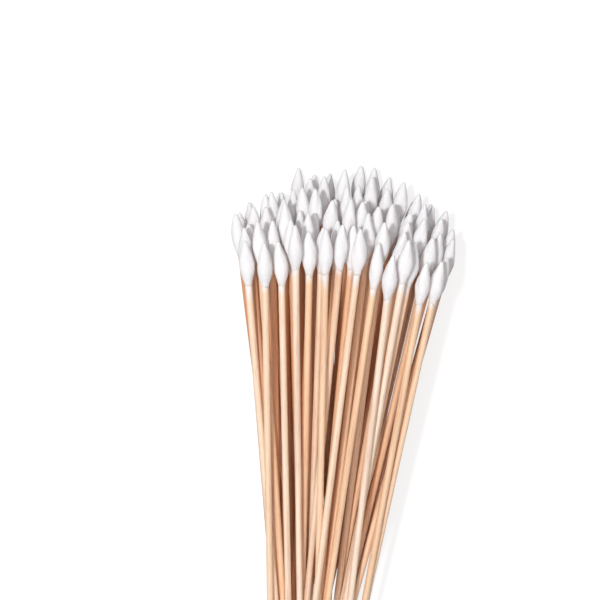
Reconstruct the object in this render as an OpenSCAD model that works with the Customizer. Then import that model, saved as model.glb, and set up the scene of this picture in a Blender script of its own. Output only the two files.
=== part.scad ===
// Loose bunch of single-ended cotton swabs with pointed cotton buds on plain wooden sticks.
// The bunch lies on its side as it comes to rest: Y runs along the sticks with the buds toward +Y,
// X is across, Z is up, and the surface it lies on is z = 0.
// The origin is the middle of the bunch's footprint. All sizes are in millimetres.

/* [Swab] */
// Overall length of one swab, from its blunt end to the point of the bud
swab_length = 150; // [120:1:180]
// Diameter of the wooden stick
stick_d = 2.4; // [2.0:0.1:2.8]
// Bevel around the stick's blunt end
stick_bevel = 0.25; // [0.1:0.05:0.5]

/* [Cotton bud] */
// Length of the cotton, from its collar to its point
bud_length = 15.2; // [13:0.1:19]
// Diameter of an average bud at its belly
bud_d = 5.7; // [5.0:0.1:6.6]
// Thickness of the cotton collar around the stick
collar_wall = 0.25; // [0.15:0.05:0.5]
// Length of the collar, before the bud swells
collar_length = 1.2; // [0.6:0.1:2.5]
// Distance from the collar's edge to the belly
belly_at = 6.6; // [5:0.1:8]
// Diameter of the bud's blunted point
point_d = 0.9; // [0.5:0.1:1.4]
// How far the stick reaches into the cotton
socket_depth = 10; // [6:0.5:12]
// Largest share by which a bud is wider or narrower than the average one
bud_spread = 0.07; // [0:0.01:0.1]

/* [Bunch] */
// Swabs in each layer, from the lowest layer up
layer_counts = [12, 14, 15, 15, 14, 13];
// Distance between neighbouring buds of a layer
bud_pitch = 5.4; // [5.0:0.1:6.4]
// Width over the blunt ends of the lowest layer
foot_width = 28; // [22:1:40]
// Extra width over the blunt ends of the top layer
foot_growth = 14; // [0:1:20]
// How far the blunt ends sit to the right of the buds
foot_offset = 2; // [-4:0.5:4]
// How far the lowest layer reaches beyond the top one at the buds' end
layer_lead = 15; // [6:1:20]
// How far the buds at the sides lie behind those in the middle
side_lag = 6; // [0:0.5:10]
// Largest random shift of a swab along its length
length_scatter = 3.6; // [0:0.1:4]
// Largest random sideways shift of a bud
bud_scatter = 0.9; // [0:0.1:1.2]
// Largest random sideways shift of a blunt end
foot_scatter = 5; // [0:0.1:6]
// Room left between two swabs that rest on each other
rest_gap = 0.12; // [0.08:0.01:0.3]

/* [Hidden] */
stick_r = stick_d / 2;
collar_r = stick_r + collar_wall;
bud_base = swab_length - bud_length;
stick_length = bud_base + socket_depth;
// share of the swab's length at which it balances
balance = 0.54;
// how strongly the outermost blunt ends are drawn in to the middle
foot_pinch = 0.28;
// share of the lead that the side swabs do without
lead_fade = 0.4;
// seed of the random shifts
seed = 2;
// how gently the bud swells above its collar, and how full it stays between its belly and its point
swell_power = 1;
taper_power = 2;
bands_up = 5;
bands_down = 7;

layer_total = len(layer_counts);
row_total = 2 * layer_total;

// Each layer is laid in two rows: every other swab first, then the ones between them.
// A spot is [row, height share of its layer, place across from -1 to 1, half width of its layer].
spots = [
    for (k = [0 : layer_total - 1])
        for (half = [0, 1])
            for (j = [half : 2 : layer_counts[k] - 1])
                [2 * k + half, k / max(layer_total - 1, 1), (2 * j + 1) / layer_counts[k] - 1,
                 layer_counts[k] * bud_pitch / 2]
];
swab_total = len(spots);

function scatter(n) = rands(-1, 1, swab_total, seed + n);
shift_along = scatter(1);
shift_bud = scatter(2);
shift_foot = scatter(3);
bud_scales = [for (v = scatter(4)) 1 + bud_spread * v];

// Radius of a bud of scale k at distance t above its collar's edge.
function bud_r(t, k) =
    let (belly_r = bud_d / 2 * k)
    t < belly_at
        ? collar_r + (belly_r - collar_r)
            * pow(sin(90 * max(t - collar_length, 0) / (belly_at - collar_length)), swell_power)
        : belly_r - (belly_r - point_d / 2) * pow((t - belly_at) / (bud_length - belly_at), taper_power);

// Radius of a whole swab at distance s from its blunt end.
function swab_r(s, k) = s < bud_base ? stick_r : bud_r(min(s - bud_base, bud_length), k);

// Radius that counts where swabs rest on each other: on a tilted bud the place that bears is up to
// tilt_slack nearer the belly than the one straight above it.
tilt_slack = 0.15 * bud_d;
function bearing_r(s, k) =
    let (to_belly = bud_base + belly_at - s)
    swab_r(s + max(-tilt_slack, min(tilt_slack, to_belly)), k);

// Distances from the blunt end at which a bud is tried against another swab.
bud_tries = concat(
    [bud_base + belly_at],
    [for (share = [0.03, 0.16, 0.28, 0.4, 0.54, 0.68, 0.82, 0.97]) bud_base + share * bud_length]
);
foot_and_bud_tries = concat([0], bud_tries);
stick_tries = 12;
stick_reach = stick_d + rest_gap;
bud_reach = bud_d * (1 + bud_spread) + rest_gap;

// A swab on its spot is [foot x, foot y, plan direction x, plan direction y, bud scale], and a swab
// at rest adds its height at the foot and its rise per mm of run.
function on_spot(i) =
    let (
        c = spots[i][2],
        upper = spots[i][1],
        head_x = c * spots[i][3] + bud_scatter * shift_bud[i],
        foot_x = c * (1 - foot_pinch * c * c) * (foot_width + foot_growth * upper) / 2
            + foot_scatter * (1 - c * c / 2) * shift_foot[i] + foot_offset,
        across = (head_x - foot_x) / swab_length,
        foot_y = layer_lead * (1 - upper) * (1 - lead_fade * c * c) - side_lag * c * c
            + length_scatter * shift_along[i]
    )
    [foot_x, foot_y, across, sqrt(1 - across * across), bud_scales[i]];

// Height that swab b needs at its distance s where swab a lies under it at distance t, off to the side
// by e. On a slope the room between the two takes more height, which the last factor adds. A blunt end
// counts as one radius longer, because two ends that lie level bear on each other with their rims.
function support(s, t, e, a, b) =
    let (reach = bearing_r(s, b[4]) + bearing_r(t, a[4]) + rest_gap)
    t < -stick_r || t > swab_length || e >= reach ? [] :
    [[s, a[5] + a[6] * t + sqrt(reach * reach - e * e) * norm([1, a[6]])]];

// Distances along swab b at which its stick lies over a line that it nears from the offset start and
// crosses at the rate turn, both in plan. They are even steps round the curve that the lower stick offers.
function over_line(start, turn) =
    let (
        end = start + turn * bud_base,
        from = asin(max(-1, min(1, start / stick_reach))),
        to = asin(max(-1, min(1, end / stick_reach)))
    )
    abs(turn) < 0.001 ? [0, bud_base] :
    from == to ? [] :
    [for (n = [0 : stick_tries]) (stick_reach * sin(from + (to - from) * n / stick_tries) - start) / turn];

// Supports that the resting swab a gives to swab b, as [distance along b, height].
function supports(a, b) =
    let (
        dx = b[0] - a[0],
        dy = b[1] - a[1],
        start = dx * a[3] - dy * a[2],
        turn = b[2] * a[3] - b[3] * a[2],
        end = start + turn * swab_length
    )
    min(start, end) > bud_reach || max(start, end) < -bud_reach ? [] :
    let (
        lead = dx * a[2] + dy * a[3],
        along = b[2] * a[2] + b[3] * a[3]
    )
    [
        for (s = concat(over_line(start, turn), bud_tries))
            each support(s, lead + along * s, abs(start + turn * s), a, b),
        for (t = foot_and_bud_tries)
            let (s = along * t - dx * b[2] - dy * b[3])
            if (s > -stick_r && s < swab_length)
                each support(s, t, abs(dx * b[3] - dy * b[2] + turn * t), a, b)
    ];

// The two supports that carry a swab are the ends of the chord that passes highest over its balance point.
function rest(points) =
    let (
        mid = balance * swab_length,
        chords = [
            for (p = points)
                if (p[0] <= mid)
                    for (q = points)
                        if (q[0] > mid)
                            let (rise = (q[1] - p[1]) / (q[0] - p[0]))
                            [p[1] + rise * (mid - p[0]), rise]
        ],
        top = max([for (h = chords) h[0]]),
        carrying = [for (h = chords) if (h[0] == top) h][0]
    )
    [top - carrying[1] * mid, carrying[1]];

// Lays swab after swab on the floor and on those already there.
function heap(i = 0, placed = []) =
    i == swab_total ? placed :
    let (
        b = on_spot(i),
        floor_points = concat([[0, stick_r]], [for (s = bud_tries) [s, swab_r(s, b[4])]]),
        points = concat(floor_points, [for (a = placed) each supports(a, b)])
    )
    heap(i + 1, concat(placed, [concat(b, rest(points))]));

swabs = heap();

// Lowest and highest x and y of each resting swab, for the middle of the bunch.
spans = [
    for (w = swabs)
        for (s = concat(foot_and_bud_tries, [swab_length]))
            let (
                r = swab_r(s, w[4]),
                run = s / norm([1, w[6]]),
                x = w[0] + run * w[2],
                y = w[1] + run * w[3]
            )
            [x - r * w[3], x + r * w[3], y - r * abs(w[2]), y + r * abs(w[2])]
];
middle_x = (min([for (e = spans) e[0]]) + max([for (e = spans) e[1]])) / 2;
middle_y = (min([for (e = spans) e[2]]) + max([for (e = spans) e[3]])) / 2;

// Outline of a bud of scale k, up from its collar's edge to its blunted point.
function bud_outline(k) = [
    [bud_r(0, k), 0],
    for (n = [0 : bands_up])
        let (t = collar_length + (belly_at - collar_length) * n / bands_up)
        [bud_r(t, k), t],
    for (n = [1 : bands_down])
        let (t = belly_at + (bud_length - belly_at) * n / bands_down)
        [bud_r(t, k), t]
];

// Stands its child's axis along the resting swab w, with the child's origin at the blunt end.
module along(w) {
    translate([w[0] - middle_x, w[1] - middle_y, w[5]])
        rotate([atan(w[6]) - 90, 0, -asin(w[2])])
            children();
}

// Plain wooden stick with a bevelled blunt end.
module stick() {
    rotate_extrude($fn = 24)
        polygon([
            [0, 0],
            [stick_r - stick_bevel, 0],
            [stick_r, stick_bevel],
            [stick_r, stick_length],
            [0, stick_length]
        ]);
}

// Wound cotton bud of scale k with the blind socket that holds its stick.
module bud(k) {
    translate([0, 0, bud_base])
        rotate_extrude($fn = 24)
            polygon(concat(
                [[stick_r, 0]],
                bud_outline(k),
                [[0, bud_length], [0, socket_depth], [stick_r, socket_depth]]
            ));
}

// The sticks of row r, counted from the floor up.
module sticks(r) {
    color("burlywood")
        for (i = [0 : swab_total - 1])
            if (spots[i][0] == r - 1)
                along(swabs[i])
                    stick();
}

// The buds of row r, counted from the floor up.
module buds(r) {
    color("white")
        for (i = [0 : swab_total - 1])
            if (spots[i][0] == r - 1)
                along(swabs[i])
                    bud(swabs[i][4]);
}

for (r = [1 : row_total]) {
    sticks(r);
    buds(r);
}
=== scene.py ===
"""Bunch of pointed cotton swabs that lies on its side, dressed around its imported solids.

All sizes are in metres, in the row frame: +Y runs along the sticks toward the buds, +X is across the
bunch, +Z is up, and the bunch lies on z = 0.
"""

import logging
import math
from abc import ABC, abstractmethod
from dataclasses import dataclass, field
from enum import Enum
from typing import ClassVar

import bmesh
import bpy
import numpy as np
from mathutils import Matrix, Vector


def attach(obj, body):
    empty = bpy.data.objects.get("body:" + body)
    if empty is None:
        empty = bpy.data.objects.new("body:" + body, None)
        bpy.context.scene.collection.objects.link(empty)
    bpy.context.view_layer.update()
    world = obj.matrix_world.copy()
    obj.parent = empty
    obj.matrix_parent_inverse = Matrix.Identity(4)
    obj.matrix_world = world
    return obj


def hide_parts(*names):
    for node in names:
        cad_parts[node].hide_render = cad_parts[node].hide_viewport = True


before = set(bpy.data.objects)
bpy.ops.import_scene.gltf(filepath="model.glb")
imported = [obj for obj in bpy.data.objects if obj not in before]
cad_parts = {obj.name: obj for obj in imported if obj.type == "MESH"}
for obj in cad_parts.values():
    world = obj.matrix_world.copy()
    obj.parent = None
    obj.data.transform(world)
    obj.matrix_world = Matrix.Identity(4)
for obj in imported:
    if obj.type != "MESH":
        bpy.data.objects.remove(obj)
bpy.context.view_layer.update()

LOG = logging.getLogger("cotton_swabs")
BODY = "root"
ROW_TOTAL = 12
SWAB_TOTAL = 83
TURN = 2 * math.pi

# Share of the swabs, from the top of the bunch, over which the wood is painted warmer and darker with
# depth, as painted shade inside the bunch.
SHADE_DEPTH_SHARE = 0.33
# Least tone of the swabs below those, painted warmer and darker as painted shade.
DEEP_PAINTED_SHADE = 0.84
# Share of the tones left above a swab's least tone that its own one is drawn from.
PALE_SPREAD = 0.72
# Shift of the wood's and the cotton's texture from one swab to the next.
WOOD_SHIFT = 0.31
COTTON_SHIFT = 0.27

# Range in which most values of a noise lie.
MOST = (0.3, 0.7)

Colour = tuple[float, float, float]
Triple = tuple[float, float, float]
Range = tuple[float, float]
Socket = bpy.types.NodeSocket
Dice = np.random.Generator


class Slot(Enum):
    """Material slots of the record."""

    STICK = "stick"
    COTTON = "cotton"


class Purpose(Enum):
    """What a swab's own random numbers are for."""

    TONE = 0
    STICK = 1
    BUD = 2


class Mark(Enum):
    """Names of the values that each corner of a mesh carries for its finish."""

    PLACE = "grain_place"
    # tone of the wood, with painted shade for the swabs inside the bunch
    TONE = "wood_tone"
    COVER = "cotton_cover"


def srgb(red: int, green: int, blue: int) -> Colour:
    """Turns a colour as it is seen on a screen into the linear one that a shader takes.

    Args:
        red: Red from 0 to 255.
        green: Green from 0 to 255.
        blue: Blue from 0 to 255.

    Returns:
        The same colour in linear light.
    """
    shares = (red / 255, green / 255, blue / 255)
    return tuple(s / 12.92 if s <= 0.04045 else ((s + 0.055) / 1.055) ** 2.4 for s in shares)


@dataclass(frozen=True)
class Swab:
    """One swab at the place where it rests.

    Attributes:
        serial: Number of the swab in the whole bunch, which seeds its own scatter.
        foot: Middle of the stick's blunt end.
        way: Unit vector from the blunt end to the point of the bud.
        stick_length: Length of the stick, with the end that the bud hides.
        stick_radius: Radius of the stick.
        bud_start: Distance from the blunt end to the edge of the bud's collar.
        bud_end: Distance from the blunt end to the point of the bud.
        belly_radius: Largest radius of the bud.
    """

    serial: int
    foot: np.ndarray
    way: np.ndarray
    stick_length: float
    stick_radius: float
    bud_start: float
    bud_end: float
    belly_radius: float

    def frame(self) -> np.ndarray:
        """Gives the swab's own axes.

        Returns:
            Three rows: two unit vectors across the swab and its way.
        """
        across = np.cross(self.way, (0.0, 0.0, 1.0))
        across /= np.linalg.norm(across)
        return np.stack((across, np.cross(self.way, across), self.way))

    def placed(self, local: np.ndarray) -> np.ndarray:
        """Moves points from the swab's own axes to where it rests.

        Args:
            local: Points with their last axis along the swab, measured from the blunt end.

        Returns:
            The same points in the row frame.
        """
        return self.foot + local @ self.frame()

    def dice(self, purpose: Purpose) -> Dice:
        """Gives the swab's own seeded random numbers for one purpose.

        Args:
            purpose: What they are for.

        Returns:
            The random numbers, the same in every run.
        """
        return np.random.default_rng((self.serial, purpose.value))

    def tone(self) -> float:
        """Gives the tone of the swab's wood, from 0 for the palest to 1 for the warmest.

        Returns:
            The tone: a random share, plus painted shade that makes the swabs inside the bunch warmer and
                darker.
        """
        # painted shade: the deeper a swab lies in the bunch, the warmer and darker its least tone
        depth = min(max(1 - self.serial / SWAB_TOTAL, 0.0) / SHADE_DEPTH_SHARE, 1.0)
        least = DEEP_PAINTED_SHADE * depth
        return least + (1 - least) * PALE_SPREAD * float(self.dice(Purpose.TONE).random())


@dataclass(frozen=True)
class SolidReader:
    """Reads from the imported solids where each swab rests.

    Attributes:
        weld: Distance within which corners count as one.
    """

    weld: float = 2e-6

    def solids(self, node: str) -> list[np.ndarray]:
        """Splits a node's mesh into its separate solids.

        Args:
            node: Name of the CAD node.

        Returns:
            The corners of each solid.
        """
        grid = bmesh.new()
        grid.from_mesh(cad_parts[node].data)
        bmesh.ops.remove_doubles(grid, verts=grid.verts, dist=self.weld)
        left = set(grid.verts)
        found = []
        while left:
            queue = [left.pop()]
            group = []
            while queue:
                corner = queue.pop()
                group.append(corner.co[:])
                for edge in corner.link_edges:
                    other = edge.other_vert(corner)
                    if other in left:
                        left.remove(other)
                        queue.append(other)
            found.append(np.array(group, float))
        grid.free()
        return sorted(found, key=lambda points: points[:, 0].mean())

    def axis(self, points: np.ndarray) -> tuple[np.ndarray, np.ndarray, float, float]:
        """Finds the axis of a stick.

        Args:
            points: Corners of the stick's solid.

        Returns:
            The blunt end's middle, the unit way toward the bud, the length and the radius.
        """
        middle = points.mean(0)
        way = np.linalg.svd(points - middle)[2][0]
        way *= math.copysign(1.0, way[1])
        along = (points - middle) @ way
        away = np.linalg.norm(points - middle - np.outer(along, way), axis=1)
        return middle + way * along.min(), way, float(np.ptp(along)), float(away.max())

    def row(self, number: int, first_serial: int) -> list[Swab]:
        """Reads one row of swabs.

        Args:
            number: Number of the row, counted from the floor up.
            first_serial: Serial number of the row's first swab.

        Returns:
            The row's swabs from left to right.
        """
        sticks = [self.axis(points) for points in self.solids(f"sticks_{number}")]
        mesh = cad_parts[f"buds_{number}"].data
        flat = np.empty(len(mesh.vertices) * 3, np.float32)
        mesh.vertices.foreach_get("co", flat)
        cotton = flat.reshape(-1, 3).astype(float)
        offsets = [cotton - foot for foot, *_ in sticks]
        along = np.stack([gap @ way for gap, (_, way, *_) in zip(offsets, sticks)])
        away = np.sqrt(np.maximum((np.stack(offsets) ** 2).sum(2) - along**2, 0.0))
        owner = away.argmin(0)
        swabs = []
        for n, (foot, way, length, radius) in enumerate(sticks):
            run, off = along[n, owner == n], away[n, owner == n]
            bud = (float(run.min()), float(run.max()), float(off.max()))
            swabs.append(Swab(first_serial + n, foot, way, length, radius, *bud))
        return swabs


@dataclass
class RingSkin:
    """A mesh of closed skins, each of rings of corners that are joined by quads.

    Attributes:
        name: Name of the piece.
        corners: Corners of each skin.
        places: Texture place of each of these corners.
        tones: Tone of the wood at each of them, with painted shade for the swabs inside the bunch.
        covers: Share of the wood that cotton hides at each of them.
        quads: Faces between the rings of each skin.
        caps: Flat faces that close the skins.
        count: Number of corners so far.
    """

    name: str
    corners: list[np.ndarray] = field(default_factory=list)
    places: list[np.ndarray] = field(default_factory=list)
    tones: list[np.ndarray] = field(default_factory=list)
    covers: list[np.ndarray] = field(default_factory=list)
    quads: list[np.ndarray] = field(default_factory=list)
    caps: list[list[int]] = field(default_factory=list)
    count: int = 0

    def add(self, rings: np.ndarray, places: np.ndarray, tone: float, cover: np.ndarray) -> None:
        """Adds one skin, closed by a flat cap at each end.

        Args:
            rings: Corners as rings by sides by three.
            places: Texture place of each corner, in the same form.
            tone: Tone of the swab's wood, with painted shade for the swabs inside the bunch.
            cover: Share of the wood that cotton hides, in a form that fits rings by sides.
        """
        ring_total, sides = rings.shape[:2]
        index = self.count + np.arange(ring_total * sides).reshape(ring_total, sides)
        following = np.roll(index, -1, axis=1)
        quads = np.stack((index[:-1], following[:-1], following[1:], index[1:]), axis=2)
        self.quads.append(quads.reshape(-1, 4))
        self.caps += (index[0, ::-1].tolist(), index[-1].tolist())
        self.corners.append(rings.reshape(-1, 3))
        self.places.append(places.reshape(-1, 3))
        self.tones.append(np.full(ring_total * sides, tone))
        self.covers.append(np.broadcast_to(cover, (ring_total, sides)).ravel())
        self.count += ring_total * sides

    def piece(self) -> bpy.types.Object:
        """Makes the mesh object.

        Returns:
            The object, linked to the scene, with its marks for the finish.
        """
        mesh = bpy.data.meshes.new(self.name)
        faces = np.concatenate(self.quads).tolist() + self.caps
        mesh.from_pydata(np.concatenate(self.corners).tolist(), [], faces)
        place = mesh.attributes.new(Mark.PLACE.value, "FLOAT_VECTOR", "POINT")
        place.data.foreach_set("vector", np.concatenate(self.places).astype(np.float32).ravel())
        for mark, values in ((Mark.TONE, self.tones), (Mark.COVER, self.covers)):
            value = mesh.attributes.new(mark.value, "FLOAT", "POINT")
            value.data.foreach_set("value", np.concatenate(values).astype(np.float32))
        mesh.polygons.foreach_set("use_smooth", [True] * len(mesh.polygons))
        mesh.validate()
        piece = bpy.data.objects.new(self.name, mesh)
        bpy.context.scene.collection.objects.link(piece)
        return piece


@dataclass(frozen=True)
class Ripples:
    """Soft random relief made of a few seeded waves.

    Attributes:
        dice: Random numbers that set the waves.
        length: Shortest length of a wave.
        total: Number of waves.
    """

    dice: Dice
    length: float
    total: int = 14

    def relief(self, points: np.ndarray) -> np.ndarray:
        """Gives the relief at some points.

        Args:
            points: Points with their last axis of three.

        Returns:
            Values of about -1 to 1.
        """
        ways = self.dice.normal(size=(self.total, 3))
        ways /= np.linalg.norm(ways, axis=1, keepdims=True)
        lengths = self.length * (1 + 2 * self.dice.random(self.total))
        starts = TURN * self.dice.random(self.total)
        waves = np.sin(points @ (ways * (TURN / lengths)[:, None]).T + starts)
        return waves.sum(-1) / math.sqrt(self.total)


def smooth_step(value: np.ndarray) -> np.ndarray:
    """Eases a share from 0 to 1 with level ends.

    Args:
        value: The plain share, cut off below 0 and above 1.

    Returns:
        The eased share.
    """
    share = np.clip(value, 0.0, 1.0)
    return share * share * (3 - 2 * share)


def share_from(least: float, dice: Dice) -> float:
    """Draws a share between a least one and 1.

    Args:
        least: The least share.
        dice: Random numbers to draw from.

    Returns:
        The share.
    """
    return least + (1 - least) * dice.random()


def tube(radius: np.ndarray, angles: np.ndarray, along: np.ndarray) -> np.ndarray:
    """Sets rings of corners round an axis.

    Args:
        radius: Radius of each corner, as rings by sides.
        angles: Angle of each corner, in a form that fits rings by sides.
        along: Distance of each corner along the axis, in such a form too.

    Returns:
        The corners as rings by sides by three.
    """
    heights = np.broadcast_to(along, radius.shape)
    return np.stack((radius * np.cos(angles), radius * np.sin(angles), heights), axis=2)


def push(corners: np.ndarray, distance: np.ndarray, angle: float) -> None:
    """Moves corners sideways in place.

    Args:
        corners: Corners as rings by sides by three.
        distance: How far each one moves, in a form that fits rings by sides.
        angle: Which way round the axis they move.
    """
    corners[..., 0] += distance * math.cos(angle)
    corners[..., 1] += distance * math.sin(angle)


@dataclass(frozen=True)
class Grain:
    """A noise that is stretched along the swab.

    Attributes:
        size: Size of one grain across, across and along the swab.
        octaves: Octaves of the noise.
        harshness: Strength of each finer octave.
        shown: Range of the noise over which its colour comes in.
        strength: Largest share of the colour under it that it hides.
        depth: Depth of its relief.
    """

    size: Triple
    octaves: float = 2.0
    harshness: float = 0.55
    shown: Range = MOST
    strength: float = 1.0
    depth: float = 0.0


@dataclass(frozen=True)
class ShaderBench:
    """Lays out the shader nodes of one material or world.

    Attributes:
        owner: The material or world that the nodes belong to.
    """

    owner: bpy.types.Material | bpy.types.World

    @classmethod
    def fresh(cls, name: str) -> "ShaderBench":
        """Starts a new, empty material.

        Args:
            name: Name of the material.

        Returns:
            The bench of the new material.
        """
        material = bpy.data.materials.new(name)
        material.use_nodes = True
        material.node_tree.nodes.clear()
        return cls(material)

    def node(self, kind: str, **settings: object) -> bpy.types.Node:
        """Adds a node.

        Args:
            kind: Blender's name of the node type.
            **settings: Properties of the node to set.

        Returns:
            The new node.
        """
        node = self.owner.node_tree.nodes.new(kind)
        for key, value in settings.items():
            setattr(node, key, value)
        return node

    def link(self, source: Socket, target: Socket) -> None:
        """Links an output to an input.

        Args:
            source: The output.
            target: The input.
        """
        self.owner.node_tree.links.new(source, target)

    def mark(self, mark: Mark) -> bpy.types.Node:
        """Adds a node that reads one of the mesh's marks.

        Args:
            mark: The mark to read.

        Returns:
            The new node.
        """
        return self.node("ShaderNodeAttribute", attribute_type="GEOMETRY", attribute_name=mark.value)

    def noise(self, grain: Grain) -> Socket:
        """Adds a noise that is stretched along the swab.

        Args:
            grain: The noise's sizes.

        Returns:
            The output with values of about 0 to 1.
        """
        mapping = self.node("ShaderNodeMapping", vector_type="POINT")
        mapping.inputs["Scale"].default_value = tuple(1 / size for size in grain.size)
        noise = self.node("ShaderNodeTexNoise", noise_dimensions="3D")
        noise.inputs["Scale"].default_value = 1.0
        noise.inputs["Detail"].default_value = grain.octaves
        noise.inputs["Roughness"].default_value = grain.harshness
        self.link(self.mark(Mark.PLACE).outputs["Vector"], mapping.inputs["Vector"])
        self.link(mapping.outputs["Vector"], noise.inputs["Vector"])
        return noise.outputs["Fac"]

    def ramp(self, factor: Socket, stops: list[tuple[float, Colour]]) -> Socket:
        """Adds a colour ramp.

        Args:
            factor: What drives the ramp.
            stops: Place and linear colour of each stop, in rising order, at least two.

        Returns:
            The ramp's colour.
        """
        ramp = self.node("ShaderNodeValToRGB")
        elements = ramp.color_ramp.elements
        while len(elements) < len(stops):
            elements.new(0.5)
        for element, (place, colour) in zip(elements, stops):
            element.position = place
            element.color = (*colour, 1.0)
        self.link(factor, ramp.inputs["Fac"])
        return ramp.outputs["Color"]

    def spread(self, factor: Socket, source: Range, target: Range) -> Socket:
        """Maps one range of values to another and clamps it.

        Args:
            factor: The value to map.
            source: Range of the value that is used.
            target: Range that it becomes.

        Returns:
            The mapped value.
        """
        node = self.node("ShaderNodeMapRange", clamp=True)
        for key, value in zip(("From Min", "From Max", "To Min", "To Max"), (*source, *target)):
            node.inputs[key].default_value = value
        self.link(factor, node.inputs["Value"])
        return node.outputs["Result"]

    def blend(self, factor: Socket, first: Socket, second: Socket | Colour) -> Socket:
        """Mixes two colours.

        Args:
            factor: Share of the second colour.
            first: The first colour.
            second: The second colour, as an output or as a linear colour.

        Returns:
            The mixed colour.
        """
        # the colour sockets share their names with those for numbers, so they go by index
        mix = self.node("ShaderNodeMix", data_type="RGBA", blend_type="MIX")
        self.link(factor, mix.inputs[0])
        self.link(first, mix.inputs[6])
        if isinstance(second, Socket):
            self.link(second, mix.inputs[7])
        else:
            mix.inputs[7].default_value = (*second, 1.0)
        return mix.outputs[2]

    def bump(self, height: Socket, depth: float, under: Socket | None = None) -> Socket:
        """Adds relief to the shading.

        Args:
            height: Relief of about 0 to 1.
            depth: Depth of that relief in metres.
            under: Normal to start from, where another relief comes first.

        Returns:
            The bumped normal.
        """
        bump = self.node("ShaderNodeBump")
        bump.inputs["Distance"].default_value = depth
        self.link(height, bump.inputs["Height"])
        if under is not None:
            self.link(under, bump.inputs["Normal"])
        return bump.outputs["Normal"]

    def shader(self, constants: dict[str, object], **links: Socket) -> bpy.types.Material:
        """Closes the material with its main shader.

        Args:
            constants: Values set on the shader's own sockets, by socket name.
            **links: Outputs to link, by socket name with underscores for spaces.

        Returns:
            The finished material.
        """
        shader = self.node("ShaderNodeBsdfPrincipled")
        for key, value in constants.items():
            shader.inputs[key].default_value = value
        for key, output in links.items():
            self.link(output, shader.inputs[key.replace("_", " ")])
        out = self.node("ShaderNodeOutputMaterial")
        self.link(shader.outputs["BSDF"], out.inputs["Surface"])
        return self.owner


@dataclass(frozen=True)
class WoodFinish:
    """Plain, lightly polished birch with lengthwise grain.

    Attributes:
        tones: Colour of the wood from the palest to the warmest stick; the warmest end goes mostly to the
            swabs inside the bunch, as painted shade.
        rarity: Power of the spacing of the tones. Below 1 it makes the warmest ones rarer.
        vein: Colour of the darker lengthwise lines.
        figure: Broad changes of tone.
        fibre: Fine fibres.
        pore: Short dark pores.
        pore_rim: Value of the pores' noise at which the wood begins to sink.
        roughness: Roughness of the smoothest and the roughest fibre.
    """

    tones: tuple[Colour, ...] = (
        srgb(255, 240, 224),
        srgb(254, 231, 207),
        srgb(247, 208, 170),
        srgb(206, 129, 74),
    )
    rarity: float = 0.72
    vein: Colour = srgb(138, 66, 28)
    figure: Grain = Grain((0.0016, 0.0016, 0.045), shown=(0.5, 0.74), strength=0.45)
    fibre: Grain = Grain((0.00028, 0.00028, 0.009), 5.0, 0.6, (0.55, 0.74), 0.5, 0.00002)
    pore: Grain = Grain((0.00011, 0.00011, 0.0026), shown=(0.66, 0.76), strength=0.45, depth=0.00003)
    pore_rim: float = 0.62
    roughness: Range = (0.38, 0.55)

    def tone_and_shade_ramp(self, bench: ShaderBench) -> Socket:
        """Gives the colour of the swab's wood, with painted shade for the swabs inside the bunch.

        Args:
            bench: Bench of the material that needs it.

        Returns:
            The colour.
        """
        last = len(self.tones) - 1
        stops = [((n / last) ** self.rarity, colour) for n, colour in enumerate(self.tones)]
        return bench.ramp(bench.mark(Mark.TONE).outputs["Fac"], stops)

    def material(self, cotton: Colour) -> bpy.types.Material:
        """Makes the material of the sticks' round surface.

        Args:
            cotton: Colour of the thin cotton on the wood below a bud.

        Returns:
            The material.
        """
        bench = ShaderBench.fresh("birch_stick")
        fibres = bench.noise(self.fibre)
        pores = bench.noise(self.pore)
        colour = self.tone_and_shade_ramp(bench)
        for noise, grain, streaks in (
            (bench.noise(self.figure), self.figure, self.tones[-1]),
            (fibres, self.fibre, self.vein),
            (pores, self.pore, self.vein),
        ):
            shown = bench.spread(noise, grain.shown, (0.0, grain.strength))
            colour = bench.blend(shown, colour, streaks)
        colour = bench.blend(bench.mark(Mark.COVER).outputs["Fac"], colour, cotton)
        normal = bench.bump(fibres, self.fibre.depth)
        sunk = bench.spread(pores, (self.pore_rim, self.pore.shown[1]), (1.0, 0.0))
        normal = bench.bump(sunk, self.pore.depth, normal)
        return bench.shader(
            {"Specular IOR Level": 0.9, "IOR": 1.5},
            Base_Color=colour,
            Roughness=bench.spread(fibres, MOST, self.roughness),
            Normal=normal,
        )


@dataclass(frozen=True)
class CutEndFinish:
    """End grain of a stick, where it was cut to length.

    Attributes:
        pale: Colour of the cut fibres.
        dark: Colour of the open pores.
        speck: The specks of the end grain.
        roughness: Roughness of the deepest and the highest speck.
    """

    pale: Colour = srgb(226, 186, 144)
    dark: Colour = srgb(150, 100, 62)
    speck: Grain = Grain((0.00016, 0.00016, 0.00016), 4.0, 0.65, (0.34, 0.62), depth=0.00006)
    roughness: Range = (0.9, 0.75)

    def material(self) -> bpy.types.Material:
        """Makes the material of the cut faces.

        Returns:
            The material.
        """
        bench = ShaderBench.fresh("birch_end_grain")
        specks = bench.noise(self.speck)
        return bench.shader(
            {"Specular IOR Level": 0.25},
            Base_Color=bench.ramp(specks, list(zip(self.speck.shown, (self.dark, self.pale)))),
            Roughness=bench.spread(specks, MOST, self.roughness),
            Normal=bench.bump(specks, self.speck.depth),
        )


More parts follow.
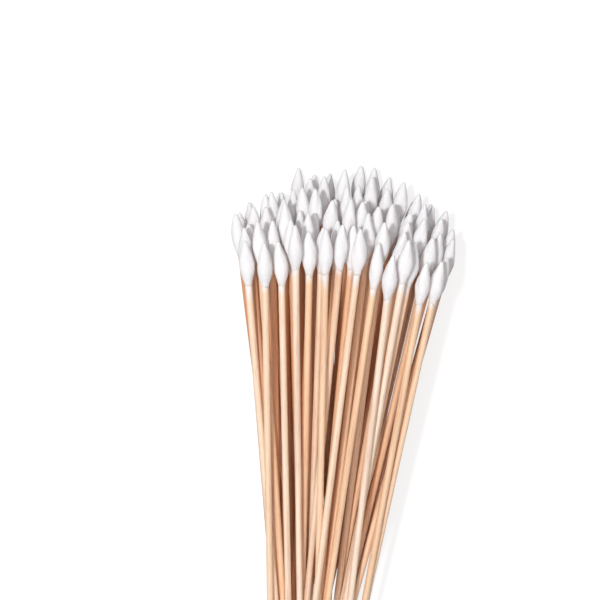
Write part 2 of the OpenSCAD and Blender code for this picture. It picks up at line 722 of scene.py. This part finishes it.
@dataclass(frozen=True)
class CottonFinish:
    """Bleached cotton, wound and pressed smooth.

    Attributes:
        white: Colour of the outer fibres.
        grey: Colour between the strands.
        strand: The strands, which run along the winding.
        tuft: The soft lumps under the strands.
        roughness: Roughness between the strands and on them.
    """

    white: Colour = srgb(247, 246, 247)
    grey: Colour = srgb(237, 234, 237)
    strand: Grain = Grain((0.00022, 0.00022, 0.0024), 5.0, 0.62, (0.30, 0.52), depth=0.00002)
    tuft: Grain = Grain((0.0011, 0.0011, 0.0020), depth=0.00004)
    roughness: Range = (0.86, 0.98)

    def material(self, wood: WoodFinish) -> bpy.types.Material:
        """Makes the material of the buds.

        Args:
            wood: Finish of the wood that shows through the thin edge.

        Returns:
            The material.
        """
        bench = ShaderBench.fresh("wound_cotton")
        strands = bench.noise(self.strand)
        colour = bench.ramp(strands, list(zip(self.strand.shown, (self.grey, self.white))))
        cover = bench.mark(Mark.COVER).outputs["Fac"]
        colour = bench.blend(cover, wood.tone_and_shade_ramp(bench), colour)
        normal = bench.bump(bench.noise(self.tuft), self.tuft.depth)
        normal = bench.bump(strands, self.strand.depth, normal)
        return bench.shader(
            {
                "Specular IOR Level": 0.2,
                "Sheen Weight": 0.15,
                "Sheen Roughness": 0.5,
                "Subsurface Weight": 0.6,
                "Subsurface Radius": (1.0, 0.88, 0.88),
                "Subsurface Scale": 0.001,
            },
            Base_Color=colour,
            Roughness=bench.spread(strands, MOST, self.roughness),
            Normal=normal,
        )


@dataclass
class Row(ABC):
    """The sticks or the buds of one row, which make up one piece.

    Attributes:
        number: Number of the row, counted from the floor up.
        swabs: The swabs of the row.
        title: Name of the piece, without its number.
        node: Name of the CAD node that it replaces, without its number.
        slot: Slot of the record that matches the piece's finish.
    """

    number: int
    swabs: list[Swab]
    title: ClassVar[str]
    node: ClassVar[str]
    slot: ClassVar[Slot]

    @abstractmethod
    def skin(self, skin: RingSkin, swab: Swab) -> None:
        """Adds one stick or bud to the row's mesh.

        Args:
            skin: The mesh of the row.
            swab: The swab that it belongs to.
        """

    def build(self, *finishes: bpy.types.Material) -> bpy.types.Object:
        """Builds and dresses the row's piece.

        Args:
            *finishes: Its materials.

        Returns:
            The piece.
        """
        skin = RingSkin(f"{self.title}_{self.number}")
        for swab in self.swabs:
            self.skin(skin, swab)
        piece = skin.piece()
        for finish in finishes:
            piece.data.materials.append(finish)
        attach(piece, BODY)
        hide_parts(f"{self.node}_{self.number}")
        return piece


@dataclass
class StickRow(Row):
    """The wooden sticks of one row.

    Attributes:
        bevel: Width of the worn edge around the blunt end.
        oval: Largest share by which a stick is slimmer one way.
        bow: Largest sideways bow at the middle of a stick.
        waver: Depth of the long, faint unevenness.
        waver_width: Shortest wave of that unevenness across the stick.
        waver_run: Factor on the distances along the stick, below 1 for longer waves.
        saw: Depth of the saw marks on the blunt end.
        saw_width: Shortest distance of the saw marks.
        film: Longest stretch below a bud that is pale with thin cotton.
        film_least: Share of it that the shortest one has.
        film_ragged: Share of the stretch by which its end is uneven.
        film_wave: Shortest wave of that end.
        film_cover: Largest share of the wood that the thin cotton hides.
        tucked: Distance of the first hidden ring from the bud's edge.
        sides: Corners round a ring.
        rings: Rings along the bare stick.
        end_rings: Rings on the worn edge.
        film_rings: Rings on the pale stretch.
        sharp_deg: Angle between faces from which an edge looks sharp.
    """

    title = "wooden_sticks"
    node = "sticks"
    slot = Slot.STICK
    bevel: float = 0.00025
    oval: float = 0.035
    bow: float = 0.00005
    waver: float = 0.000015
    waver_width: float = 0.0016
    waver_run: float = 0.12
    saw: float = 0.00003
    saw_width: float = 0.0006
    film: float = 0.0065
    film_least: float = 0.25
    film_ragged: float = 0.15
    film_wave: float = 0.0012
    film_cover: float = 0.75
    tucked: float = 0.001
    sides: int = 28
    rings: int = 27
    end_rings: int = 4
    film_rings: int = 8
    sharp_deg: float = 50.0

    def stations(self, swab: Swab) -> np.ndarray:
        """Spaces the rings along a stick.

        Args:
            swab: The swab whose stick it is.

        Returns:
            Distances from the blunt end, closer at the worn edge and just below the bud.
        """
        film_start = swab.bud_start - self.film
        return np.concatenate(
            (
                self.bevel * (1 - np.cos(np.linspace(0, math.pi / 2, self.end_rings))),
                np.linspace(self.bevel, film_start, self.rings)[1:],
                np.linspace(film_start, swab.bud_start, self.film_rings)[1:],
                (swab.bud_start + self.tucked, swab.stick_length),
            )
        )

    def skin(self, skin: RingSkin, swab: Swab) -> None:
        """Adds one stick to the row's mesh.

        Args:
            skin: The mesh of the row.
            swab: The swab whose stick it is.
        """
        dice = swab.dice(Purpose.STICK)
        angles = np.arange(self.sides) * TURN / self.sides
        along = self.stations(swab)[:, None]
        rim = np.clip(1 - along / self.bevel, 0.0, 1.0)
        radius = swab.stick_radius - self.bevel * (1 - np.sqrt(1 - rim**2))
        flat_at, bow_at = TURN * dice.random(2)
        slim = self.oval * dice.random()
        radius = radius * (1 - slim * np.cos(angles - flat_at) ** 2)
        around = tube(radius, angles, along)
        uneven = Ripples(dice, self.waver_width).relief(around * (1.0, 1.0, self.waver_run))
        shrink = 1 - self.waver / swab.stick_radius * (1 + uneven) * (1 - rim)
        local = around * np.stack((shrink, shrink, np.ones_like(shrink)), axis=2)
        push(local, self.bow * dice.random() * np.sin(math.pi * along / swab.stick_length), bow_at)
        local[0, :, 2] += self.saw * np.abs(Ripples(dice, self.saw_width).relief(local[0]))
        places = around + (0.0, 0.0, WOOD_SHIFT * swab.serial)
        reach = self.film * share_from(self.film_least, dice)
        edge = Ripples(dice, self.film_wave).relief(local[-2]) * self.film_ragged * reach
        cover = self.film_cover * smooth_step((along - (swab.bud_start - reach) + edge) / reach)
        skin.add(swab.placed(local), places, swab.tone(), cover)

    def build(self, *finishes: bpy.types.Material) -> bpy.types.Object:
        """Builds and dresses the row's sticks.

        Args:
            *finishes: Finish of the round surface and finish of the cut faces.

        Returns:
            The piece.
        """
        piece = super().build(*finishes)
        for face in piece.data.polygons:
            face.material_index = int(len(face.vertices) == self.sides)
        piece.data.set_sharp_from_angle(angle=math.radians(self.sharp_deg))
        return piece


@dataclass(frozen=True)
class Collar:
    """The start of a bud's cotton, thin on the stick.

    Attributes:
        length: Length of the collar, before the bud swells.
        radius: Radius of the collar.
        edge_radius: Radius at its thin edge.
        edge_waver: Depth by which that edge is ragged.
        edge_wave: Shortest wave of the ragged edge.
        edge_cover: Share of the wood that the cotton hides at the edge.
        dense_at: Distance from the edge at which it hides all, in collar lengths.
        ragged_share: Share of the edge's waver that the thin cotton follows.
        pleat: Depth of the small pleats above the collar.
        pleats: Fewest and most pleats round a bud.
        pleat_shift: How unevenly the pleats lie, in radians.
        pleats_at: Where they are deepest, in collar lengths.
        pleats_reach: How far they reach from there, in collar lengths.
    """

    length: float = 0.0012
    radius: float = 0.00143
    edge_radius: float = 0.00124
    edge_waver: float = 0.0005
    edge_wave: float = 0.0011
    edge_cover: float = 0.7
    dense_at: float = 1.4
    ragged_share: float = 0.3
    pleat: float = 0.00005
    pleats: tuple[int, int] = (7, 11)
    pleat_shift: float = 5.0
    pleats_at: float = 2.6
    pleats_reach: float = 1.2

    def pleated(self, radius: np.ndarray, angles: np.ndarray, along: np.ndarray, dice: Dice) -> np.ndarray:
        """Presses the small pleats in.

        Args:
            radius: Radius of each corner.
            angles: Angle of each corner.
            along: Distances from the collar's edge.
            dice: Random numbers of the bud.

        Returns:
            The radius with pleats.
        """
        total = dice.integers(self.pleats[0], self.pleats[1] + 1)
        folds = np.sin(angles * total + self.pleat_shift * np.sin(angles + TURN * dice.random()))
        off = (along - self.pleats_at * self.length) / (self.pleats_reach * self.length)
        return radius - self.pleat * (1 + folds) * np.exp(-(off**2))

    def cover(self, along: np.ndarray, ragged: np.ndarray) -> np.ndarray:
        """Tells how much of the wood's colour the cotton hides.

        Args:
            along: Distances from the collar's edge.
            ragged: Unevenness of that edge.

        Returns:
            The hidden share.
        """
        dense = smooth_step((along + self.ragged_share * ragged) / (self.dense_at * self.length))
        return self.edge_cover + (1 - self.edge_cover) * dense


@dataclass(frozen=True)
class Winding:
    """The marks that winding and pressing leave on a bud.

    Attributes:
        turn: Turn of the winding along the bud, in radians per metre.
        usual: Share of the buds that are wound the usual way round.
        facet: Depth of the flats that the winder's pads press, as a share of the radius.
        facet_sum: Sum of the flats' strengths that gives that depth.
        flats: Numbers of flats round a bud, which are laid over each other.
        lap_step: Height of the step where the cotton's outer lap ends.
        lap_width: Width of that step, in radians.
        lap_least: Share of the step that the flattest one has.
        crease: Depth of the soft creases that follow the winding.
        crease_width: Width of a crease, in radians.
        crease_least: Share of the depth that the shallowest one has.
        creases: Fewest and most creases of a bud.
    """

    turn: float = 150.0
    usual: float = 0.8
    facet: float = 0.10
    facet_sum: float = 1.5
    flats: tuple[int, ...] = (2, 3, 4)
    lap_step: float = 0.00024
    lap_width: float = 0.14
    lap_least: float = 0.4
    crease: float = 0.00016
    crease_width: float = 0.12
    crease_least: float = 0.3
    creases: tuple[int, int] = (1, 3)

    def marked(
        self, radius: np.ndarray, turned: np.ndarray, above: np.ndarray, body: np.ndarray, dice: Dice
    ) -> np.ndarray:
        """Presses flats, the end of the outer lap and creases into the bud.

        Args:
            radius: Radius of each corner.
            turned: Angle of each corner as the wound cotton sees it.
            above: Share of the flats that each ring takes.
            body: Share of the lap and the creases that each ring takes.
            dice: Random numbers of the bud.

        Returns:
            The radius with these marks.
        """
        facets = sum(
            dice.random() * np.cos(flats / 2 * (turned - TURN * dice.random())) ** 2 for flats in self.flats
        )
        radius = radius * (1 - self.facet / self.facet_sum * facets * above)
        lap = np.mod(turned - TURN * dice.random(), TURN)
        ridge = smooth_step(lap / self.lap_width) * (1 - lap / TURN)
        radius = radius - self.lap_step * (1 - ridge) * body * share_from(self.lap_least, dice)
        for _ in range(dice.integers(self.creases[0], self.creases[1] + 1)):
            off_line = np.mod(turned - TURN * dice.random() + math.pi, TURN) - math.pi
            fold = np.exp(-((off_line / self.crease_width) ** 2))
            radius = radius - self.crease * share_from(self.crease_least, dice) * fold * body
        return radius


@dataclass
class BudRow(Row):
    """The wound cotton buds of one row.

    Attributes:
        collar: The start of each bud on its stick.
        winding: The marks of winding and pressing.
        belly_at: Distance from the collar's edge to the belly.
        point_radius: Radius of the blunted point.
        fullness: Power that keeps a bud full between its belly and its point.
        slimming: Largest drop of that power, which makes some buds slimmer.
        tip_round: Length over which the point is rounded.
        tip_cut: Share of that length at which a small flat closes the point.
        fade: Share of the bud's length over which its marks fade toward the point.
        lump: Depth of the soft lumps.
        lump_wave: Shortest length of a lump.
        lean: Largest sideways lean of the point.
        squeeze: Largest flattening of the whole bud, as a share of its radius.
        sides: Corners round a ring.
        rings: Rings along a bud.
        crowding: Power that crowds the rings toward the point.
    """

    title = "cotton_buds"
    node = "buds"
    slot = Slot.COTTON
    collar: Collar = Collar()
    winding: Winding = Winding()
    belly_at: float = 0.0066
    point_radius: float = 0.00045
    fullness: float = 2.0
    slimming: float = 0.6
    tip_round: float = 0.0005
    tip_cut: float = 0.985
    fade: float = 0.2
    lump: float = 0.00004
    lump_wave: float = 0.0022
    lean: float = 0.0009
    squeeze: float = 0.07
    sides: int = 56
    rings: int = 58
    crowding: float = 1.25

    def outline(self, along: np.ndarray, length: float, belly: float, fullness: float) -> np.ndarray:
        """Gives the bud's plain radius.

        Args:
            along: Distances from the collar's edge.
            length: Length of the bud.
            belly: Radius at the belly.
            fullness: The bud's own fullness.

        Returns:
            The radius at each distance.
        """
        collar = self.collar
        rise = (along - collar.length) / (self.belly_at - collar.length)
        swell = np.sin(math.pi / 2 * np.clip(rise, 0.0, 1.0))
        lower = collar.radius + (belly - collar.radius) * swell
        lower = lower - (collar.radius - collar.edge_radius) * (1 - smooth_step(along / collar.length))
        fall = np.clip((along - self.belly_at) / (length - self.belly_at), 0.0, 1.0)
        upper = belly - (belly - self.point_radius) * fall**fullness
        tip = np.clip((along - (length - self.tip_round)) / self.tip_round, 0.0, self.tip_cut)
        return np.where(along < self.belly_at, lower, upper) * np.sqrt(1 - tip**2)

    def skin(self, skin: RingSkin, swab: Swab) -> None:
        """Adds one bud to the row's mesh.

        Args:
            skin: The mesh of the row.
            swab: The swab whose bud it is.
        """
        dice = swab.dice(Purpose.BUD)
        length = swab.bud_end - swab.bud_start
        share = np.linspace(0.0, 1.0, self.rings)[:, None]
        along = length * (1 - (1 - share) ** self.crowding)
        angles = (np.arange(self.sides) * TURN / self.sides)[None, :]
        fullness = self.fullness - self.slimming * dice.random()
        radius = self.outline(along, length, swab.belly_radius, fullness)
        hand = 1.0 if dice.random() < self.winding.usual else -1.0
        turned = angles + hand * self.winding.turn * along
        above = smooth_step(along / self.belly_at)
        body = above * smooth_step((length - along) / (self.fade * length))
        radius = self.winding.marked(radius, turned, above, body, dice)
        radius = self.collar.pleated(radius, angles, along, dice)
        local = tube(radius, angles, along)
        places = tube(radius, turned, along) + (0.0, 0.0, COTTON_SHIFT * swab.serial)
        lumps = self.lump * (1 + Ripples(dice, self.lump_wave).relief(local)) * body / radius
        local[..., :2] *= (1 - lumps)[..., None]
        squeeze_at, lean_at = TURN * dice.random(2)
        flat = np.array((math.cos(squeeze_at), math.sin(squeeze_at)))
        press = self.squeeze * dice.random() * above * (local[..., :2] @ flat)
        local[..., :2] -= press[..., None] * flat
        upper = smooth_step((along - self.belly_at) / (length - self.belly_at))
        push(local, self.lean * dice.random() * upper, lean_at)
        ragged = Ripples(dice, self.collar.edge_wave).relief(local[0]) * self.collar.edge_waver
        local[..., 2] += ragged * (1 - smooth_step(along / self.collar.length))
        local[..., 2] += swab.bud_start
        skin.add(swab.placed(local), places, swab.tone(), self.collar.cover(along, ragged))


@dataclass
class Bunch:
    """The whole bunch of swabs, built row by row from the floor up.

    Attributes:
        rows: Number of rows.
        reader: Tells where each swab rests.
        wood_finish: Finish of the sticks' round surface.
        cut_finish: Finish of the sticks' cut ends.
        cotton_finish: Finish of the buds.
    """

    rows: int = ROW_TOTAL
    reader: SolidReader = field(default_factory=SolidReader)
    wood_finish: WoodFinish = field(default_factory=WoodFinish)
    cut_finish: CutEndFinish = field(default_factory=CutEndFinish)
    cotton_finish: CottonFinish = field(default_factory=CottonFinish)

    def build(self) -> list[bpy.types.Object]:
        """Builds and dresses every row.

        Returns:
            All pieces of the bunch.
        """
        wood = self.wood_finish.material(self.cotton_finish.white)
        cut = self.cut_finish.material()
        cotton = self.cotton_finish.material(self.wood_finish)
        pieces = []
        serial = 0
        for number in range(1, self.rows + 1):
            swabs = self.reader.row(number, serial)
            serial += len(swabs)
            pieces.append(StickRow(number, swabs).build(wood, cut))
            pieces.append(BudRow(number, swabs).build(cotton))
        return pieces


@dataclass(frozen=True)
class Lamp:
    """A soft rectangular studio lamp.

    Attributes:
        name: Name of the lamp.
        place: Where it hangs.
        size: Length of its sides.
        power: Power in watts.
        colour: Linear colour of its light.
        aim: What it points at.
    """

    name: str
    place: Triple
    size: float
    power: float
    colour: Colour = (1.0, 1.0, 1.0)
    aim: Triple = (0.0, 0.03, 0.02)

    def hang(self) -> bpy.types.Object:
        """Hangs the lamp.

        Returns:
            The lamp's object.
        """
        data = bpy.data.lights.new(self.name, "AREA")
        data.shape = "SQUARE"
        data.size = self.size
        data.energy = self.power
        data.color = self.colour
        lamp = bpy.data.objects.new(self.name, data)
        lamp.location = self.place
        toward = Vector(self.aim) - Vector(self.place)
        lamp.rotation_euler = toward.to_track_quat("-Z", "Y").to_euler()
        bpy.context.scene.collection.objects.link(lamp)
        return lamp


@dataclass(frozen=True)
class LookDown:
    """The camera, which looks down on the bunch at the photograph's angle.

    Attributes:
        eye: Place of the camera.
        aim: Point in the middle of the picture.
        roll_deg: Turn of the picture about the line of sight.
        focal_px: Focal length in pixels of the picture.
        side_px: Side of the square picture.
        sensor_mm: Width of the camera's sensor.
        clip: Nearest and farthest distance that is seen.
    """

    eye: Triple = (0.0004, 0.1522, 0.4207)
    aim: Triple = (-0.01345, 0.0379, 0.0161)
    roll_deg: float = -4.75
    focal_px: float = 1176.4
    side_px: float = 600.0
    sensor_mm: float = 36.0
    clip: Range = (0.01, 50.0)

    def place(self) -> bpy.types.Object:
        """Sets the camera up.

        Returns:
            The camera's object.
        """
        data = bpy.data.cameras.new("camera")
        data.sensor_width = self.sensor_mm
        data.lens = self.focal_px / self.side_px * self.sensor_mm
        data.clip_start, data.clip_end = self.clip
        back = (Vector(self.eye) - Vector(self.aim)).normalized()
        level_up = (Vector((0, 1, 0)) - back * back.y).normalized()
        level_right = level_up.cross(back)
        roll = math.radians(self.roll_deg)
        up = level_up * math.cos(roll) + level_right * math.sin(roll)
        right = up.cross(back)
        camera = bpy.data.objects.new("camera", data)
        turn = Matrix((right, up, back)).transposed().to_4x4()
        camera.matrix_world = Matrix.Translation(self.eye) @ turn
        bpy.context.scene.collection.objects.link(camera)
        bpy.context.scene.camera = camera
        return camera


@dataclass(frozen=True)
class Studio:
    """Plain pale floor, soft light and camera.

    Attributes:
        floor_size: Side of the square floor.
        floor_colour: Linear colour of the floor's own shading, which keeps the shadow.
        floor_lift: Light added where the floor is seen, so that it reaches white.
        sky_light: Strength of the soft light from all round.
        sky_colour: Linear colour of that light.
        camera: The camera.
        lamps: The lamps.
    """

    floor_size: float = 1.6
    floor_colour: Colour = (0.34, 0.34, 0.34)
    floor_lift: float = 0.76
    sky_light: float = 0.29
    sky_colour: Colour = (1.0, 0.93, 0.925)
    camera: LookDown = field(default_factory=LookDown)
    lamps: tuple[Lamp, ...] = (
        Lamp("key_lamp", (-0.49, 0.46, 1.91), 0.13, 21.8, (0.975, 0.99, 1.0)),
        Lamp("gloss_lamp", (-0.40, -0.23, 1.96), 0.9, 5.2),
        Lamp("fill_lamp", (0.11, 0.59, 1.89), 0.45, 5.6),
    )

    def floor(self) -> bpy.types.Object:
        """Lays the floor.

        Returns:
            The floor's object.
        """
        half = self.floor_size / 2
        mesh = bpy.data.meshes.new("floor")
        corners = [(-half, -half, 0), (half, -half, 0), (half, half, 0), (-half, half, 0)]
        mesh.from_pydata(corners, [], [(0, 1, 2, 3)])
        bench = ShaderBench.fresh("pale_floor")
        diffuse = bench.node("ShaderNodeBsdfDiffuse")
        diffuse.inputs["Color"].default_value = (*self.floor_colour, 1.0)
        lift = bench.node("ShaderNodeEmission")
        lift.inputs["Strength"].default_value = self.floor_lift
        both = bench.node("ShaderNodeAddShader")
        mix = bench.node("ShaderNodeMixShader")
        out = bench.node("ShaderNodeOutputMaterial")
        bench.link(self.seen(bench), mix.inputs[0])
        for source, target in (
            (diffuse, both.inputs[0]),
            (lift, both.inputs[1]),
            (diffuse, mix.inputs[1]),
            (both, mix.inputs[2]),
            (mix, out.inputs["Surface"]),
        ):
            bench.link(source.outputs[0], target)
        mesh.materials.append(bench.owner)
        floor = bpy.data.objects.new("floor", mesh)
        bpy.context.scene.collection.objects.link(floor)
        return floor

    def seen(self, bench: ShaderBench) -> Socket:
        """Tells the rays that see the stage, straight or in gloss, from those that light the bunch.

        Args:
            bench: Bench of the material or world.

        Returns:
            1 for a ray that sees the stage and 0 for any other.
        """
        path = bench.node("ShaderNodeLightPath")
        first = bench.node("ShaderNodeMath", operation="MAXIMUM")
        both = bench.node("ShaderNodeMath", operation="MAXIMUM")
        bench.link(path.outputs["Is Camera Ray"], first.inputs[0])
        bench.link(path.outputs["Is Glossy Ray"], first.inputs[1])
        bench.link(first.outputs[0], both.inputs[0])
        bench.link(path.outputs["Is Transmission Ray"], both.inputs[1])
        return both.outputs[0]

    def sky(self) -> None:
        """Makes a white world that is seen at full white and lights more softly."""
        world = bpy.data.worlds.new("sky")
        world.use_nodes = True
        world.node_tree.nodes.clear()
        bench = ShaderBench(world)
        light = bench.node("ShaderNodeBackground")
        light.inputs["Color"].default_value = (*self.sky_colour, 1.0)
        light.inputs["Strength"].default_value = self.sky_light
        white = bench.node("ShaderNodeBackground")
        white.inputs["Color"].default_value = (1.0, 1.0, 1.0, 1.0)
        mix = bench.node("ShaderNodeMixShader")
        out = bench.node("ShaderNodeOutputWorld")
        bench.link(self.seen(bench), mix.inputs[0])
        bench.link(light.outputs[0], mix.inputs[1])
        bench.link(white.outputs[0], mix.inputs[2])
        bench.link(mix.outputs[0], out.inputs["Surface"])
        bpy.context.scene.world = world

    def build(self) -> None:
        """Sets up floor, world, lamps and camera."""
        self.camera.place()
        self.floor()
        self.sky()
        for lamp in self.lamps:
            lamp.hang()
        bpy.context.scene.view_settings.view_transform = "Standard"


def main() -> None:
    """Builds the bunch and its studio, and reports each piece."""
    logging.basicConfig(level=logging.INFO, format="%(message)s")
    Studio().build()
    for piece in Bunch().build():
        LOG.info("%s: %d faces", piece.name, len(piece.data.polygons))


if __name__ == "__main__":
    main()
